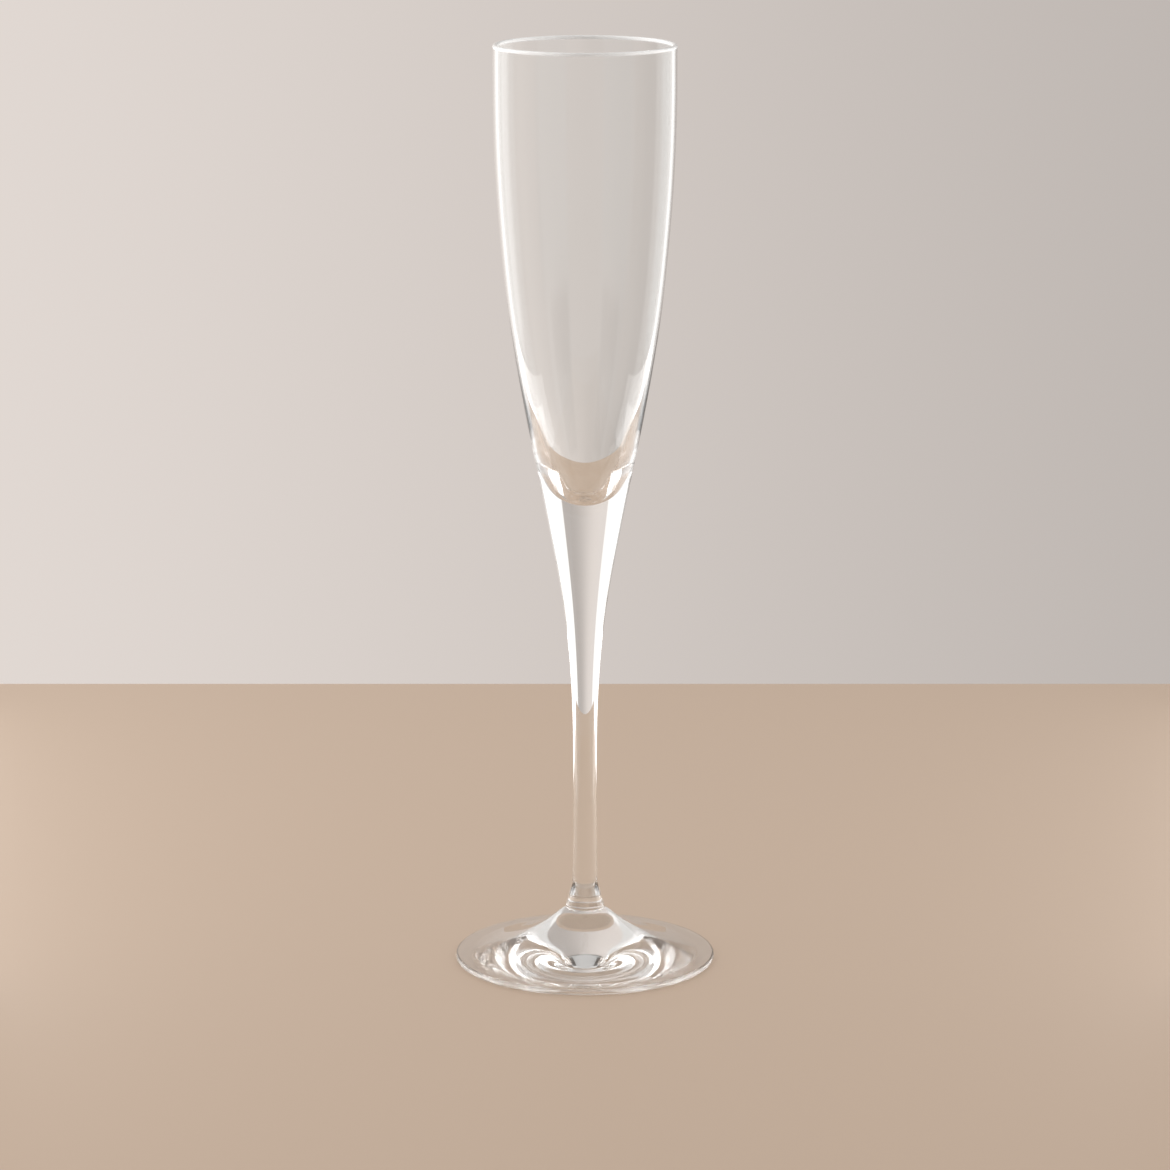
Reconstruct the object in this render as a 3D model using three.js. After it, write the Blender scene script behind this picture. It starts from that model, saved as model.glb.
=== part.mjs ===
// A champagne flute in clear glass, in millimetres, +Z up, standing on the plane z = 0.
// Four pieces of glass are welded face to face on one axis: the blown bowl, the drawn stem,
// the collar (the ring of glass at the lower weld) and the spun foot.
import * as THREE from "three";

// Driving dimensions
const HEIGHT = 265;
const LIP_RADIUS = 25.78; // outside of the fire-polished lip
const LIP_BEAD = 0.7; // radius of the lip's own round section
const FOOT_RADIUS = 37.6;
const FOOT_EDGE_THICKNESS = 1.7;

// Planes where the pieces are welded together
const BOWL_WELD = 122;
const STEM_WELD = 16.3;
const COLLAR_WELD = 14.8;
const STEM_WELD_RADIUS = 5.35;
const COLLAR_WELD_RADIUS = 5.2;
const COLLAR_BULGE = 0.3; // how far the collar swells past the welds above and below it

// Underside of the foot: a flat resting ring, and a shallow dome inside it
const REST_RING_INNER = 30;
const DOME_RISE = 0.9;

// Facets: the fewer there are, the plainer the curve
const SIDES = 48;
const STEPS_PER_KNOT = 2;
const LIP_STEPS = 6;
const EDGE_STEPS = 6;
const DOME_STEPS = 8;
const COLLAR_STEPS = 6;

// Clear glass; each piece has a faint tint of its own
const GLASS_ROUGHNESS = 0.05;
const GLASS_OPACITY = 0.35;
const BOWL_TINT = 0xf2f5f3;
const STEM_TINT = 0xeef2f0;
const COLLAR_TINT = 0xebf0ee;
const FOOT_TINT = 0xeef2f0;

// The outside from the collar to just under the lip, [radius, height]. The stem and the bowl
// share it, so that it runs smoothly through their weld.
const OUTSIDE = [
  [STEM_WELD_RADIUS, STEM_WELD],
  [4.68, 18.6],
  [4, 20.9],
  [3.66, 22.2],
  [3.55, 24.6],
  [3.49, 28.5],
  [3.46, 34],
  [3.36, 46],
  [3.41, 62],
  [3.7, 76],
  [4.55, 90],
  [6.4, 106],
  [9.2, BOWL_WELD],
  [12.38, 138],
  [15.85, 155],
  [18.95, 172],
  [21.68, 190],
  [23.62, 208],
  [24.98, 226],
  [25.66, 244],
  [25.78, 262],
];

// The cavity from the lip down to the floor, [radius, height]. The wall thickens towards
// the floor. The last point mirrors its neighbour, so that the floor is level on the axis.
const CAVITY = [
  [24.38, 262],
  [24.26, 244],
  [23.58, 226],
  [22.22, 208],
  [20.27, 190],
  [18.03, 176],
  [15.45, 164],
  [12.6, 154],
  [10.25, 147],
  [7.6, 141.5],
  [4.8, 137.5],
  [0, 135.6],
  [-4.8, 137.5],
];

// The top of the foot from the collar out to its edge, [radius, height]
const FOOT_TOP = [
  [COLLAR_WELD_RADIUS, COLLAR_WELD],
  [6.3, 14.4],
  [8.2, 13],
  [11, 10.7],
  [14.5, 8.4],
  [18.5, 6.35],
  [23, 4.6],
  [28, 3],
  [33, 1.8],
];

const onAxis = (height) => new THREE.Vector2(0, height);
const toVectors = (knots) => knots.map(([radius, height]) => new THREE.Vector2(radius, height));

// A smooth curve through the knots, cut to the stretch between two of them.
function smoothStretch(knots, first, last) {
  const curve = new THREE.SplineCurve(toVectors(knots));
  const steps = (last - first) * STEPS_PER_KNOT;
  const spans = knots.length - 1;
  return Array.from({ length: steps + 1 }, (_, i) =>
    curve.getPoint((first + i / STEPS_PER_KNOT) / spans),
  );
}

// Part of a circle, from one angle to another.
function arc(centreRadius, centreHeight, size, fromAngle, toAngle, steps) {
  return Array.from({ length: steps + 1 }, (_, i) => {
    const angle = fromAngle + ((toAngle - fromAngle) * i) / steps;
    return new THREE.Vector2(
      centreRadius + size * Math.cos(angle),
      centreHeight + size * Math.sin(angle),
    );
  });
}

const weldKnot = OUTSIDE.findIndex(([, height]) => height === BOWL_WELD);

function bowlOutline() {
  const outside = smoothStretch(OUTSIDE, weldKnot, OUTSIDE.length - 1);
  const lip = arc(LIP_RADIUS - LIP_BEAD, HEIGHT - LIP_BEAD, LIP_BEAD, 0, Math.PI, LIP_STEPS);
  const cavity = smoothStretch(CAVITY, 0, CAVITY.length - 2);
  cavity[cavity.length - 1].x = 0;
  return [onAxis(BOWL_WELD), ...outside, ...lip, ...cavity];
}

function stemOutline() {
  const outside = smoothStretch(OUTSIDE, 0, weldKnot);
  return [onAxis(STEM_WELD), ...outside, onAxis(BOWL_WELD)];
}

function collarOutline() {
  const height = STEM_WELD - COLLAR_WELD;
  const side = Array.from({ length: COLLAR_STEPS + 1 }, (_, i) => {
    const share = i / COLLAR_STEPS;
    const radius = THREE.MathUtils.lerp(COLLAR_WELD_RADIUS, STEM_WELD_RADIUS, share);
    const bulge = COLLAR_BULGE * Math.sin(Math.PI * share);
    return new THREE.Vector2(radius + bulge, COLLAR_WELD + height * share);
  });
  return [onAxis(COLLAR_WELD), ...side, onAxis(STEM_WELD)];
}

// The underside from the axis out to the resting ring.
function dome() {
  return Array.from({ length: DOME_STEPS + 1 }, (_, i) => {
    const share = i / DOME_STEPS;
    const rise = (DOME_RISE * (1 + Math.cos(Math.PI * share))) / 2;
    return new THREE.Vector2(REST_RING_INNER * share, rise);
  });
}

function footOutline() {
  const top = smoothStretch(FOOT_TOP, 0, FOOT_TOP.length - 1).reverse();
  const edgeRadius = FOOT_EDGE_THICKNESS / 2;
  const edge = arc(
    FOOT_RADIUS - edgeRadius,
    edgeRadius,
    edgeRadius,
    -Math.PI / 2,
    Math.PI / 2,
    EDGE_STEPS,
  );
  return [...dome(), ...edge, ...top, onAxis(COLLAR_WELD)];
}

function clearGlass(tint) {
  return new THREE.MeshStandardMaterial({
    color: tint,
    roughness: GLASS_ROUGHNESS,
    metalness: 0,
    transparent: true,
    opacity: GLASS_OPACITY,
  });
}

// Turns an outline round the Z axis and names the piece.
function revolve(name, outline, tint) {
  const geometry = new THREE.LatheGeometry(outline, SIDES);
  geometry.rotateX(Math.PI / 2);
  const mesh = new THREE.Mesh(geometry, clearGlass(tint));
  mesh.name = name;
  return mesh;
}

const flute = new THREE.Group();
flute.name = "champagne_flute";
flute.add(
  revolve("bowl", bowlOutline(), BOWL_TINT),
  revolve("stem", stemOutline(), STEM_TINT),
  revolve("foot_collar", collarOutline(), COLLAR_TINT),
  revolve("foot", footOutline(), FOOT_TINT),
);

export default flute;
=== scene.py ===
import math

import bpy
import numpy as np
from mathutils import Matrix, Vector


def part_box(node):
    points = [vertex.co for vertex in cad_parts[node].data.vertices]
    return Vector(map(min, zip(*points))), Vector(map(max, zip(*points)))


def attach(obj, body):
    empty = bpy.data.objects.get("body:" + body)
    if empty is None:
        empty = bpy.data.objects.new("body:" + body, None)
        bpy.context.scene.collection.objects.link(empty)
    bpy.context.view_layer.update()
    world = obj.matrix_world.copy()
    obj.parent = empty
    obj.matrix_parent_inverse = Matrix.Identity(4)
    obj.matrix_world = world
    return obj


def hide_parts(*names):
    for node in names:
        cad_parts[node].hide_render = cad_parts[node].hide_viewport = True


# A clear glass champagne flute. Each of its four pieces of glass is turned here as a fine closed
# mesh that stands for a plain CAD solid. Lengths are in metres; outlines are written in
# millimetres and scaled by MM.
MM = 0.001

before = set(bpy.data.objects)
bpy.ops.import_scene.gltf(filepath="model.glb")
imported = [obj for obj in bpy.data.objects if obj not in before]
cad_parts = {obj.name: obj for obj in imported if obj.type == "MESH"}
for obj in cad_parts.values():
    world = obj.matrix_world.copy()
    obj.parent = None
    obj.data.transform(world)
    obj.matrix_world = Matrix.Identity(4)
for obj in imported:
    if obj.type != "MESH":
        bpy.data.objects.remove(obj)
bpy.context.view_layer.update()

# Heights and radii that the frame already holds
BOWL_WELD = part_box("bowl")[0].z
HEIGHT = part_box("bowl")[1].z
LIP_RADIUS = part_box("bowl")[1].x
STEM_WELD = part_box("stem")[0].z
COLLAR_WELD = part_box("foot")[1].z
FOOT_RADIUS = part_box("foot")[1].x

# Camera
CAMERA_DISTANCE = 1.206
CAMERA_HEIGHT = 0.383
CAMERA_PITCH_DEG = 12.72
LENS_MM = 133.1
SENSOR_MM = 36
CLIP_END = 50

# Shape of the glass
SEGMENTS = 256
OUTLINE_STEP = 1.0 * MM
SAME_POINT = 0.01 * MM  # points of an outline closer than this are one point
ON_AXIS = 1e-7  # a ring smaller than this is a single point on the axis
LIP_BEAD = 0.7 * MM
LIP_STEPS = 24
EDGE_RADIUS = 0.85 * MM
EDGE_STEPS = 24
REST_RING_INNER = 30 * MM
DOME_RISE = 0.9 * MM
DOME_STEPS = 40
COLLAR_BULGE = 0.3 * MM
COLLAR_STEPS = 24

# Look of the glass
IOR = 1.52
CLEAR_TINT = (0.992, 0.994, 0.992, 1)
COOL_TINT = (0.978, 0.986, 0.982, 1)
CORD_SCALE = 25
CORD_DETAIL = 1
RIPPLE_STRENGTH = 0.05
RIPPLE_DEPTH = 0.2 * MM
FOOT_CONTACT = 0.07  # share of light that passes the foot's underside unbent
LIP_HIGHLIGHT_WHITENESS = 0.7  # painted highlight: how far the top of the lip is white instead of clear
LIP_HIGHLIGHT_HEIGHTS = (263.8 * MM, 264.2 * MM)  # where the painted highlight on the lip fades in

# The outside from the collar to just under the lip, [radius, height] in millimetres
OUTSIDE = [
    [5.35, 16.3],
    [4.68, 18.6],
    [4, 20.9],
    [3.66, 22.2],
    [3.55, 24.6],
    [3.49, 28.5],
    [3.46, 34],
    [3.36, 46],
    [3.41, 62],
    [3.7, 76],
    [4.55, 90],
    [6.4, 106],
    [9.2, 122],
    [12.38, 138],
    [15.85, 155],
    [18.95, 172],
    [21.68, 190],
    [23.62, 208],
    [24.98, 226],
    [25.66, 244],
    [25.78, 262],
]

# The cavity from the lip down to its floor. The last point mirrors its neighbour, so that the
# floor is level on the axis.
CAVITY = [
    [24.38, 262],
    [24.26, 244],
    [23.58, 226],
    [22.22, 208],
    [20.27, 190],
    [18.03, 176],
    [15.45, 164],
    [12.6, 154],
    [10.25, 147],
    [7.6, 141.5],
    [4.8, 137.5],
    [0, 135.6],
    [-4.8, 137.5],
]

# The top of the foot from the collar out to its edge
FOOT_TOP = [
    [5.2, 14.8],
    [6.3, 14.4],
    [8.2, 13],
    [11, 10.7],
    [14.5, 8.4],
    [18.5, 6.35],
    [23, 4.6],
    [28, 3],
    [33, 1.8],
]

# Table
TABLE_DEPTH = 0.327  # from the glass to the far edge, and to the near one
TABLE_NEAR_HALF = 0.130
TABLE_FAR_HALF = 0.217
TABLE_THICK = 0.02
TABLE_GAP = 0.05 * MM  # the air under the foot, so that glass and table stay two surfaces
TABLE_COLOUR = (0.45, 0.345, 0.265, 1)
TABLE_ROUGHNESS = 0.6

# Studio: colours, and the brightness of each zone
BACKDROP = (0.628, 0.574, 0.540)
BACKDROP_LEFT = 1.27  # the backdrop fades from its left side to its right
BACKDROP_RIGHT = 0.76
WHITE = (1, 0.985, 0.965)
FAR_PANELS = 1.12  # beyond the glass
NEAR_PANELS = 0.64  # on the camera's side of the glass
UPPER_PANELS = 0.8
DARK_CORNER = 0.12
OVERHEAD = 0.58

# Studio: the angles over which each zone fades in, as seen from the glass
QUARTERS = 4  # the backdrop and its panels come round four times
WINDOW_EDGE = (math.radians(23), math.radians(25))
PANEL_TOP = (math.radians(9), math.radians(13))
PANEL_BOTTOM = (math.radians(-22), math.radians(-16))
OVERHEAD_EDGE = (math.radians(35), math.radians(50))
CORNER_SIDES = (math.radians(118), math.radians(124), math.radians(150), math.radians(156))
CORNER_HEIGHTS = (math.radians(3), math.radians(6), math.radians(22), math.radians(27))
NEAR_SIDE = (0.1, -0.1)  # the Y of a direction, where the far panels give way to the near ones

# The Mix node's colour sockets, by number because they share their names with others
MIX_COLOUR_A = 6
MIX_COLOUR_B = 7
MIX_COLOUR_RESULT = 2

# Lamps: name, place, size and watts
LAMPS = [
    ("key", (-0.9, 0.5, 1.1), 0.5, 9),
    ("left", (-1, 0, 0.3), 0.4, 6),
    ("right", (1, 0, 0.3), 0.4, 6),
]

# White cards beside the table
CARD_LENGTH = 0.32
CARD_HEIGHT = 0.09
CARD_WATTS = 0.14
CARD_OFF_AXIS = 0.198
CARD_BEHIND = 0.14
CARD_TURN = 0.132  # slope of a card against the table's centre line, close to that of its side

# Light paths
GLASS_BOUNCES = 64
GLOSS_BOUNCES = 16
CLEAR_BOUNCES = 32


# ---------------------------------------------------------------- outlines


def smooth_curve(knots_mm):
    """Points about OUTLINE_STEP apart on a natural cubic spline through the knots."""
    knots = np.array(knots_mm) * MM
    spans = np.linalg.norm(np.diff(knots, axis=0), axis=1)
    count = len(knots)
    system = np.eye(count)
    right = np.zeros_like(knots)
    for i in range(1, count - 1):
        before, after = spans[i - 1], spans[i]
        system[i, i - 1 : i + 2] = before, 2 * (before + after), after
        right[i] = 6 * ((knots[i + 1] - knots[i]) / after - (knots[i] - knots[i - 1]) / before)
    bend = np.linalg.solve(system, right)
    points = [knots[0]]
    for i, span in enumerate(spans):
        steps = max(2, round(span / OUTLINE_STEP))
        for b in np.linspace(0, 1, steps + 1)[1:]:
            a = 1 - b
            curve = ((a**3 - a) * bend[i] + (b**3 - b) * bend[i + 1]) * span**2 / 6
            points.append(a * knots[i] + b * knots[i + 1] + curve)
    return np.array(points)


def arc(centre, size, from_angle, to_angle, steps):
    angles = np.linspace(from_angle, to_angle, steps + 1)
    return np.stack([centre[0] + size * np.cos(angles), centre[1] + size * np.sin(angles)], axis=1)


def joined(*stretches):
    """One outline from several that meet end to end, with no point twice."""
    points = [stretches[0]]
    for stretch in stretches[1:]:
        meets = np.linalg.norm(stretch[0] - points[-1][-1]) < SAME_POINT
        points.append(stretch[1:] if meets else stretch)
    return np.concatenate(points)


def weld_disc(radius, height, outwards):
    ends = np.array([[0, height], [radius, height]])
    return ends if outwards else ends[::-1]


outside_curve = smooth_curve(OUTSIDE)


def outside_between(low, high):
    heights = outside_curve[:, 1]
    return outside_curve[(heights > low - SAME_POINT) & (heights < high + SAME_POINT)]


# ---------------------------------------------------------------- meshes


def outline_normals(points):
    """The outward normal at each point of an outline drawn with the glass on its left."""
    tangents = np.gradient(points, axis=0)
    tangents /= np.linalg.norm(tangents, axis=1)[:, None]
    return np.stack([tangents[:, 1], -tangents[:, 0]], axis=1)


def revolve(name, runs, materials):
    """Turns runs of outline, each with its material slot, into one closed mesh. Normals are
    smooth along a run and break between runs."""
    angles = np.arange(SEGMENTS) * 2 * math.pi / SEGMENTS
    directions = np.stack([np.cos(angles), np.sin(angles)], axis=1)
    vertices, faces, slots, normals = [], [], [], []

    def ring(radius, height):
        start = len(vertices)
        if radius < ON_AXIS:
            vertices.append((0, 0, height))
            return [start] * SEGMENTS
        vertices.extend((radius * x, radius * y, height) for x, y in directions)
        return list(range(start, start + SEGMENTS))

    last = None
    for points, slot in runs:
        slopes = outline_normals(points)
        if last is None:
            last = ring(*points[0])
        for i in range(1, len(points)):
            now = ring(*points[i])
            for a in range(SEGMENTS):
                b = (a + 1) % SEGMENTS
                corners = [(last[a], i - 1, a), (last[b], i - 1, b), (now[b], i, b), (now[a], i, a)]
                if last[a] == last[b]:
                    corners.pop(1)
                elif now[a] == now[b]:
                    corners.pop(2)
                faces.append([c[0] for c in corners])
                slots.append(slot)
                for _, row, turn in corners:
                    across, up = slopes[row]
                    x, y = directions[turn]
                    normals.append((across * x, across * y, up))
            last = now
    mesh = bpy.data.meshes.new(name)
    mesh.from_pydata(vertices, [], faces)
    for material in materials:
        mesh.materials.append(material)
    mesh.polygons.foreach_set("material_index", slots)
    mesh.polygons.foreach_set("use_smooth", [True] * len(faces))
    mesh.update()
    mesh.normals_split_custom_set(normals)
    piece = bpy.data.objects.new(name, mesh)
    bpy.context.scene.collection.objects.link(piece)
    return piece


# ---------------------------------------------------------------- materials


def new_material(name):
    material = bpy.data.materials.new(name)
    material.use_nodes = True
    nodes = material.node_tree.nodes
    nodes.clear()
    return material, nodes, material.node_tree.links


def glass_material(name, contact=0):
    """Clear glass with faint cords: slow changes of tint and a ripple too small to see as such.
    Contact is the share of light that passes the surface unbent, as if it lay on the table."""
    material, nodes, links = new_material(name)
    output = nodes.new("ShaderNodeOutputMaterial")
    shader = nodes.new("ShaderNodeBsdfPrincipled")
    shader.inputs["Transmission Weight"].default_value = 1
    shader.inputs["IOR"].default_value = IOR
    shader.inputs["Roughness"].default_value = 0
    shader.inputs["Alpha"].default_value = 1 - contact
    links.new(shader.outputs[0], output.inputs["Surface"])

    place = nodes.new("ShaderNodeTexCoord").outputs["Object"]
    cords = nodes.new("ShaderNodeTexNoise")
    cords.inputs["Scale"].default_value = CORD_SCALE
    cords.inputs["Detail"].default_value = CORD_DETAIL
    links.new(place, cords.inputs["Vector"])
    tint = nodes.new("ShaderNodeValToRGB")
    tint.color_ramp.elements[0].color = COOL_TINT
    tint.color_ramp.elements[1].color = CLEAR_TINT
    links.new(cords.outputs["Fac"], tint.inputs["Fac"])
    links.new(tint.outputs["Color"], shader.inputs["Base Color"])
    ripple = nodes.new("ShaderNodeBump")
    ripple.inputs["Strength"].default_value = RIPPLE_STRENGTH
    ripple.inputs["Distance"].default_value = RIPPLE_DEPTH
    links.new(cords.outputs["Fac"], ripple.inputs["Height"])
    links.new(ripple.outputs["Normal"], shader.inputs["Normal"])
    return material


def fade(tree, value, low, high, low_result, high_result):
    """Passes smoothly from one result to the other as the value goes from low to high."""
    node = tree.nodes.new("ShaderNodeMapRange")
    node.interpolation_type = "SMOOTHSTEP"
    tree.links.new(value, node.inputs["Value"])
    node.inputs["From Min"].default_value = low
    node.inputs["From Max"].default_value = high
    node.inputs["To Min"].default_value = low_result
    node.inputs["To Max"].default_value = high_result
    return node.outputs[0]


def height_on_object(tree):
    split = tree.nodes.new("ShaderNodeSeparateXYZ")
    tree.links.new(tree.nodes.new("ShaderNodeTexCoord").outputs["Object"], split.inputs[0])
    return split.outputs["Z"]


def paint_lip_highlight(material):
    """Makes the top millimetre of the lip partly white. It stands in for the light that a real
    lip gathers, because a clear one renders dark grey at its sides."""
    tree = material.node_tree
    clear = fade(tree, height_on_object(tree), *LIP_HIGHLIGHT_HEIGHTS, 1, 1 - LIP_HIGHLIGHT_WHITENESS)
    tree.links.new(clear, tree.nodes["Principled BSDF"].inputs["Transmission Weight"])


def weld_material():
    """Fused glass has no surface inside a weld, so the weld discs are perfectly clear."""
    material, nodes, links = new_material("fused_weld")
    output = nodes.new("ShaderNodeOutputMaterial")
    shader = nodes.new("ShaderNodeBsdfTransparent")
    links.new(shader.outputs[0], output.inputs["Surface"])
    return material


def table_material():
    material, nodes, links = new_material("pale_table")
    output = nodes.new("ShaderNodeOutputMaterial")
    shader = nodes.new("ShaderNodeBsdfPrincipled")
    shader.inputs["Base Color"].default_value = TABLE_COLOUR
    shader.inputs["Roughness"].default_value = TABLE_ROUGHNESS
    links.new(shader.outputs[0], output.inputs["Surface"])
    return material


# ---------------------------------------------------------------- pieces

# Material slots of a piece
GLASS = 0
WELD = 1
UNDERSIDE = 2
clear_weld = weld_material()


def finish_piece(piece, node):
    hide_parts(node)
    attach(piece, "root")


def make_bowl():
    outside = outside_between(BOWL_WELD, HEIGHT)
    lip = arc((LIP_RADIUS - LIP_BEAD, HEIGHT - LIP_BEAD), LIP_BEAD, 0, math.pi, LIP_STEPS)
    cavity = smooth_curve(CAVITY)
    floor = int(np.argmin(np.abs(cavity[:, 0])))
    cavity = cavity[: floor + 1]
    cavity[-1, 0] = 0
    runs = [
        (weld_disc(outside[0, 0], BOWL_WELD, True), WELD),
        (joined(outside, lip, cavity), GLASS),
    ]
    glass = glass_material("bowl_glass")
    # paints a white highlight into the top of the lip
    paint_lip_highlight(glass)
    materials = [glass, clear_weld]
    finish_piece(revolve("blown_bowl", runs, materials), "bowl")


def make_stem():
    outside = outside_between(STEM_WELD, BOWL_WELD)
    runs = [
        (weld_disc(outside[0, 0], STEM_WELD, True), WELD),
        (outside, GLASS),
        (weld_disc(outside[-1, 0], BOWL_WELD, False), WELD),
    ]
    materials = [glass_material("stem_glass"), clear_weld]
    finish_piece(revolve("drawn_stem", runs, materials), "stem")


def make_collar():
    share = np.linspace(0, 1, COLLAR_STEPS + 1)
    low_radius = FOOT_TOP[0][0] * MM
    high_radius = OUTSIDE[0][0] * MM
    radii = low_radius + (high_radius - low_radius) * share + COLLAR_BULGE * np.sin(math.pi * share)
    side = np.stack([radii, COLLAR_WELD + (STEM_WELD - COLLAR_WELD) * share], axis=1)
    runs = [
        (weld_disc(low_radius, COLLAR_WELD, True), WELD),
        (side, GLASS),
        (weld_disc(high_radius, STEM_WELD, False), WELD),
    ]
    materials = [glass_material("collar_glass"), clear_weld]
    finish_piece(revolve("welded_collar", runs, materials), "foot_collar")


def make_foot():
    share = np.linspace(0, 1, DOME_STEPS + 1)
    dome = np.stack([REST_RING_INNER * share, DOME_RISE * (1 + np.cos(math.pi * share)) / 2], axis=1)
    edge_centre = (FOOT_RADIUS - EDGE_RADIUS, EDGE_RADIUS)
    edge = arc(edge_centre, EDGE_RADIUS, -math.pi / 2, math.pi / 2, EDGE_STEPS)
    top = smooth_curve(FOOT_TOP)[::-1]
    runs = [
        (joined(dome, edge[:1]), UNDERSIDE),
        (joined(edge, top), GLASS),
        (weld_disc(top[-1, 0], COLLAR_WELD, False), WELD),
    ]
    underside = glass_material("foot_underside", FOOT_CONTACT)
    materials = [glass_material("foot_glass"), clear_weld, underside]
    finish_piece(revolve("spun_foot", runs, materials), "foot")


# ---------------------------------------------------------------- stage


def make_camera():
    camera = bpy.data.cameras.new("camera")
    camera.lens = LENS_MM
    camera.sensor_width = SENSOR_MM
    camera.sensor_fit = "HORIZONTAL"
    camera.clip_end = CLIP_END
    holder = bpy.data.objects.new("camera", camera)
    holder.location = (0, -CAMERA_DISTANCE, CAMERA_HEIGHT)
    holder.rotation_euler = (math.radians(90 - CAMERA_PITCH_DEG), 0, 0)
    bpy.context.scene.collection.objects.link(holder)
    bpy.context.scene.camera = holder


def make_table():
    """The table is narrower towards the camera, so that the white panels beyond its sides reach
    the stem and the floor of the bowl."""
    mesh = bpy.data.meshes.new("table")
    near, far, depth = TABLE_NEAR_HALF, TABLE_FAR_HALF, TABLE_DEPTH
    outline = ((-near, -depth), (near, -depth), (far, depth), (-far, depth))
    levels = (-TABLE_THICK, -TABLE_GAP)
    vertices = [(x, y, z) for z in levels for x, y in outline]
    faces = [(3, 2, 1, 0), (4, 5, 6, 7), (0, 1, 5, 4), (1, 2, 6, 5), (2, 3, 7, 6), (3, 0, 4, 7)]
    mesh.from_pydata(vertices, [], faces)
    mesh.materials.append(table_material())
    table = bpy.data.objects.new("table", mesh)
    bpy.context.scene.collection.objects.link(table)


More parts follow.
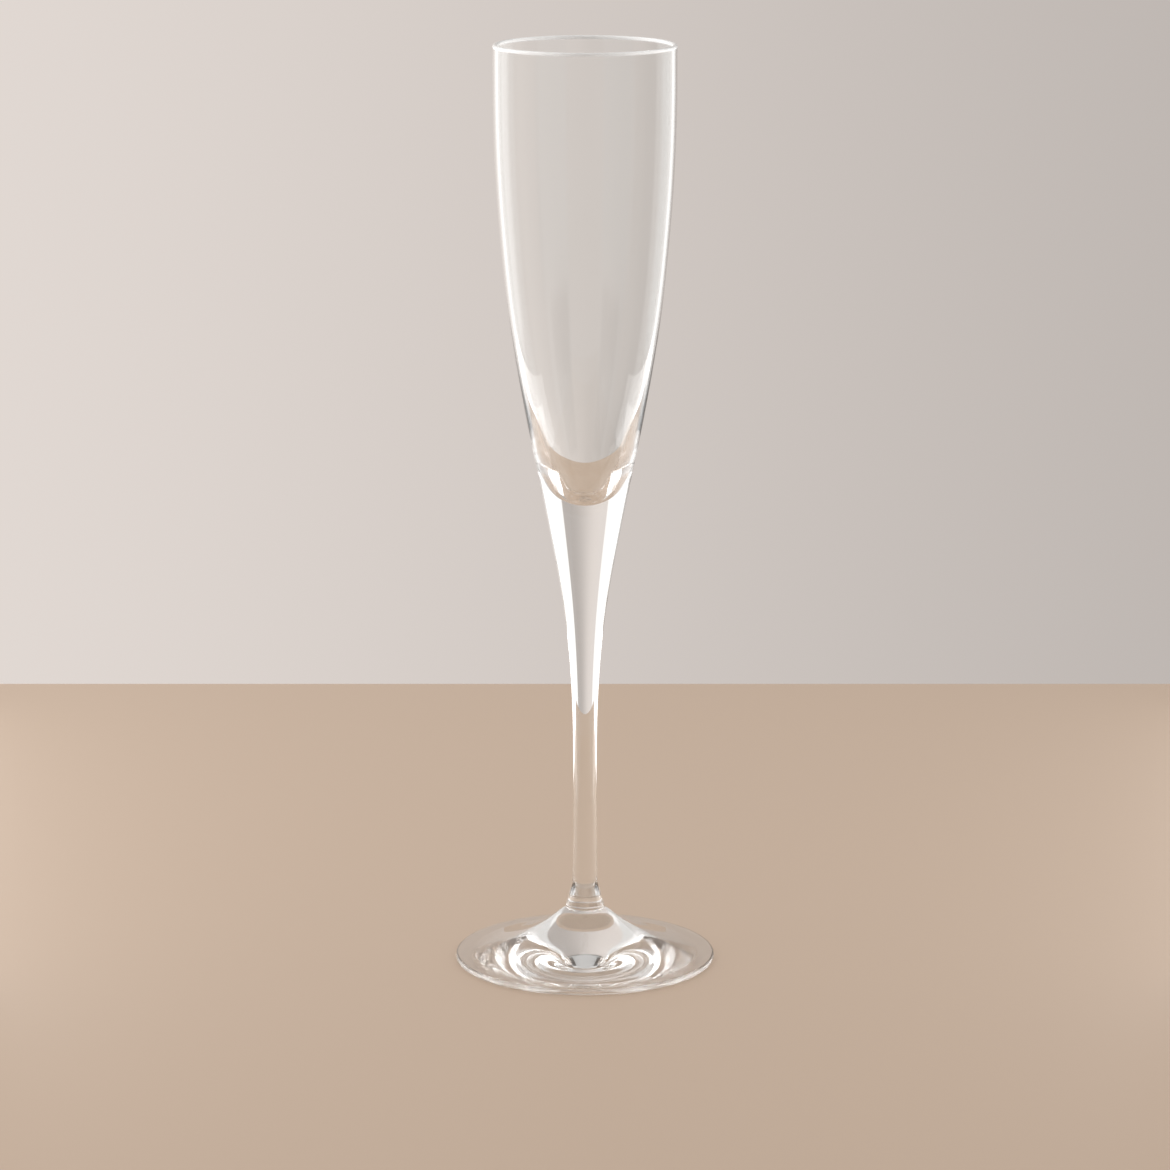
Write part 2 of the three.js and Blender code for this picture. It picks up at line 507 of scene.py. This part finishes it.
def make_world():
    """Grey backdrop straight behind the glass and white panels beside it, and the same again from
    every quarter, so that each side view has much the same light. The panels fade out well below the
    horizon. Those on the camera's side are dimmer, and a dark patch on each of them gives the
    stem's foot its dark glints."""
    world = bpy.data.worlds.new("studio")
    bpy.context.scene.world = world
    world.use_nodes = True
    nodes = world.node_tree.nodes
    links = world.node_tree.links
    nodes.clear()

    def wire(value, socket):
        """The value is another node's output, or else a plain number or colour."""
        if hasattr(value, "is_linked"):
            links.new(value, socket)
        else:
            socket.default_value = value

    def calculate(operation, *inputs):
        node = nodes.new("ShaderNodeMath")
        node.operation = operation
        for value, socket in zip(inputs, node.inputs):
            wire(value, socket)
        return node.outputs[0]

    def rises(value, low, high):
        return fade(world.node_tree, value, low, high, 0, 1)

    def between(value, low, low_end, high, high_end):
        return calculate("MULTIPLY", rises(value, low, low_end), rises(value, high_end, high))

    def mix(factor, a, b):
        node = nodes.new("ShaderNodeMix")
        node.data_type = "RGBA"
        wire(factor, node.inputs["Factor"])
        wire(a, node.inputs[MIX_COLOUR_A])
        wire(b, node.inputs[MIX_COLOUR_B])
        return node.outputs[MIX_COLOUR_RESULT]

    def radiance(colour, brightness):
        return tuple(brightness * channel for channel in colour) + (1,)

    direction = nodes.new("ShaderNodeTexCoord").outputs["Generated"]
    split = nodes.new("ShaderNodeSeparateXYZ")
    links.new(direction, split.inputs[0])
    azimuth = calculate("ARCTAN2", split.outputs["X"], split.outputs["Y"])
    elevation = calculate("ARCSINE", split.outputs["Z"])
    off_window = calculate("PINGPONG", azimuth, math.pi / QUARTERS)
    in_panel = calculate(
        "MULTIPLY", rises(off_window, *WINDOW_EDGE), rises(elevation, *PANEL_BOTTOM)
    )
    near_side = rises(split.outputs["Y"], *NEAR_SIDE)
    above_panels = rises(elevation, *PANEL_TOP)
    overhead = rises(elevation, *OVERHEAD_EDGE)
    corner = calculate(
        "MULTIPLY",
        between(calculate("ABSOLUTE", azimuth), *CORNER_SIDES),
        between(elevation, *CORNER_HEIGHTS),
    )
    # From 0 at the left of each quarter's backdrop to 1 at its right
    across = rises(calculate("SINE", calculate("MULTIPLY", azimuth, QUARTERS)), -1, 1)

    backdrop = mix(across, radiance(BACKDROP, BACKDROP_LEFT), radiance(BACKDROP, BACKDROP_RIGHT))
    panel = mix(near_side, radiance(WHITE, FAR_PANELS), radiance(WHITE, NEAR_PANELS))
    panel = mix(above_panels, panel, radiance(WHITE, UPPER_PANELS))
    colour = mix(in_panel, backdrop, panel)
    colour = mix(corner, colour, radiance(BACKDROP, DARK_CORNER))
    colour = mix(overhead, colour, radiance(WHITE, OVERHEAD))
    background = nodes.new("ShaderNodeBackground")
    links.new(colour, background.inputs["Color"])
    output = nodes.new("ShaderNodeOutputWorld")
    links.new(background.outputs[0], output.inputs["Surface"])


def hang_light(light, place, facing):
    """Puts a light in its place and turns it to face a direction. The camera doesn't see it."""
    holder = bpy.data.objects.new(light.name, light)
    holder.location = place
    holder.visible_camera = False
    holder.rotation_euler = facing.to_track_quat("-Z", "Y").to_euler()
    bpy.context.scene.collection.objects.link(holder)
    return holder


def make_lamp(name, place, size, watts):
    """A soft square light aimed at the glass. It isn't seen in the glass, and throws no shadow,
    since clear glass lets its light through to the table."""
    light = bpy.data.lights.new(name, "AREA")
    light.shape = "SQUARE"
    light.size = size
    light.energy = watts
    light.use_shadow = False
    lamp = hang_light(light, place, -Vector(place).normalized())
    lamp.visible_glossy = False
    lamp.visible_transmission = False


def make_side_card(name, side):
    """A low white card beside the table, just out of the picture. It carries the bright line on
    that side of the stem a little lower than the panels do. It also whitens the rings in the foot
    and puts a faint sheen on that side of the table."""
    light = bpy.data.lights.new(name, "AREA")
    light.shape = "RECTANGLE"
    light.size = CARD_LENGTH
    light.size_y = CARD_HEIGHT
    light.energy = CARD_WATTS
    place = (side * CARD_OFF_AXIS, CARD_BEHIND, CARD_HEIGHT / 2)
    card = hang_light(light, place, Vector((-side, CARD_TURN, 0)))
    card.visible_diffuse = False


def set_look():
    """Plain colours, and enough bounces for light to find its way out of the thick glass."""
    scene = bpy.context.scene
    scene.view_settings.view_transform = "Standard"
    scene.cycles.max_bounces = GLASS_BOUNCES
    scene.cycles.transmission_bounces = GLASS_BOUNCES
    scene.cycles.glossy_bounces = GLOSS_BOUNCES
    scene.cycles.transparent_max_bounces = CLEAR_BOUNCES
    scene.cycles.use_denoising = True


make_camera()
make_world()
for lamp in LAMPS:
    make_lamp(*lamp)
make_side_card("left_card", -1)
make_side_card("right_card", 1)
make_table()
make_bowl()
make_stem()
make_collar()
make_foot()
set_look()
